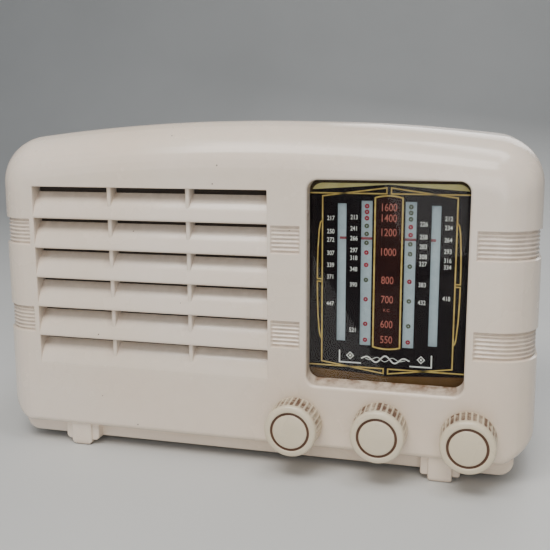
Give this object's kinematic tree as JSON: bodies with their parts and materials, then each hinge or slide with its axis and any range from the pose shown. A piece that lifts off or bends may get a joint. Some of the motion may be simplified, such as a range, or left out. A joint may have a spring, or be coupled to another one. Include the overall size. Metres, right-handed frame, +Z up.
{
  "type": "table radio",
  "caption": "Moulded ivory table radio with a louvred speaker grille, an upright glass tuning dial and a row of round knobs; free-standing.",
  "frame": {"origin": "centre of the footprint on the resting plane, under the feet", "axes": "+X to the right seen from the front, the front faces -Y, +Z up"},
  "size_m": [0.331, 0.1856, 0.2036],
  "materials": {
    "cabinet_moulding": "warm ivory moulded plastic, polished, slightly aged",
    "knob_moulding": "yellowed ivory moulded plastic with a dark ring groove",
    "dial_glass": "black screen-printed glass with gold lines and translucent strips",
    "grille_cloth": "dark brown woven cloth",
    "fibre_board": "brown pressed fibre board",
    "plated_steel": "dull cadmium plate",
    "cone_paper": "black felted paper",
    "magnet_core": "dark varnished laminations and magnet",
    "reflector": "cream painted steel",
    "pointer_enamel": "dark red enamel",
    "aluminium": "satin",
    "waxed_cord": "waxed braided cord",
    "brass": "plain turned brass",
    "winding_wrap": "varnished paper over wire",
    "valve_glass": "clear glass",
    "phenolic": "dark brown phenolic",
    "lead_braid": "brown cotton braid over rubber",
    "plug_moulding": "dark brown moulded plastic"
  },
  "bodies": {
    "root": {"cabinet": "cabinet_moulding", "grille_cloth": "grille_cloth", "speaker_baffle": "fibre_board", "speaker_frame": "plated_steel", "speaker_surround": "cone_paper", "speaker_magnet": "magnet_core", "output_transformer": "magnet_core", "dial_glass": "dial_glass", "dial_plate": "reflector", "pointer_rail": "plated_steel", "gang_frame": "aluminium", "dial_cord": "waxed_cord", "spindle_bush": "brass", "volume_control": "plated_steel", "tone_control": "plated_steel", "volume_nut": "brass", "tone_nut": "brass", "chassis": "plated_steel", "mains_transformer": "magnet_core", "mains_transformer_coil": "winding_wrap", "filter_capacitor": "aluminium", "aerial_coil": "winding_wrap", "dial_lamp": "valve_glass", "rear_cover": "fibre_board", "mains_lead": "lead_braid", "mains_plug": "plug_moulding", "speaker_screw_1": "brass", "cover_screw_1": "brass", "valve_1": "valve_glass", "valve_socket_1": "phenolic", "speaker_screw_2": "brass", "cover_screw_2": "brass", "valve_2": "valve_glass", "valve_socket_2": "phenolic", "speaker_screw_3": "brass", "cover_screw_3": "brass", "valve_3": "valve_glass", "valve_socket_3": "phenolic", "speaker_screw_4": "brass", "cover_screw_4": "brass", "valve_4": "valve_glass", "valve_socket_4": "phenolic", "chassis_bolt_1": "brass", "if_can_1": "aluminium", "chassis_bolt_2": "brass", "if_can_2": "aluminium"},
    "volume": {"volume_knob": "knob_moulding", "volume_shaft": "aluminium"},
    "tuning": {"tuning_knob": "knob_moulding", "tuning_spindle": "plated_steel"},
    "tone": {"tone_knob": "knob_moulding", "tone_shaft": "aluminium"},
    "pointer": {"dial_pointer": "pointer_enamel"},
    "drum": {"tuning_drum": "aluminium", "gang_rotor": "aluminium"},
    "upper_pulley": {"pulley_upper": "brass"},
    "lower_pulley": {"pulley_lower": "brass"},
    "cone": {"speaker_cone": "cone_paper"}
  },
  "joints": [
    {"name": "volume_turn", "type": "hinge", "parent": "root", "child": "volume", "pos_m": [0.0312, -0.0758, 0.0296], "axis": [0, 1, 0], "range_deg": [0, 300]},
    {"name": "tuning_turn", "type": "hinge", "parent": "root", "child": "tuning", "pos_m": [0.0806, -0.0758, 0.0307], "axis": [0, 1, 0], "range_deg": [-974, 335]},
    {"name": "tone_turn", "type": "hinge", "parent": "root", "child": "tone", "pos_m": [0.1297, -0.0758, 0.0296], "axis": [0, 1, 0], "range_deg": [-135, 135]},
    {"name": "pointer_travel", "type": "slide", "parent": "root", "child": "pointer", "axis": [0, 0, 1], "range_m": [-0.0596, 0.0206]},
    {"name": "drum_turn", "type": "hinge", "parent": "root", "child": "drum", "pos_m": [0.104, -0.054, 0.076], "axis": [0, 1, 0], "range_deg": [-46.3, 134.2]},
    {"name": "upper_pulley_turn", "type": "hinge", "parent": "root", "child": "upper_pulley", "pos_m": [0.065, -0.054, 0.169], "axis": [0, 1, 0], "range_deg": [-682.5, 235]},
    {"name": "lower_pulley_turn", "type": "hinge", "parent": "root", "child": "lower_pulley", "pos_m": [0.065, -0.054, 0.062], "axis": [0, 1, 0], "range_deg": [-682.5, 235]},
    {"name": "cone_travel", "type": "slide", "parent": "root", "child": "cone", "axis": [0, 1, 0], "range_m": [-0.001, 0.001]}
  ],
  "couplings": [
    {"joint": "pointer_travel", "follows": "tuning_turn", "m_per_rad": 0.0035},
    {"joint": "drum_turn", "follows": "tuning_turn", "ratio": -0.13747},
    {"joint": "upper_pulley_turn", "follows": "tuning_turn", "ratio": 0.7},
    {"joint": "lower_pulley_turn", "follows": "tuning_turn", "ratio": 0.7}
  ]
}
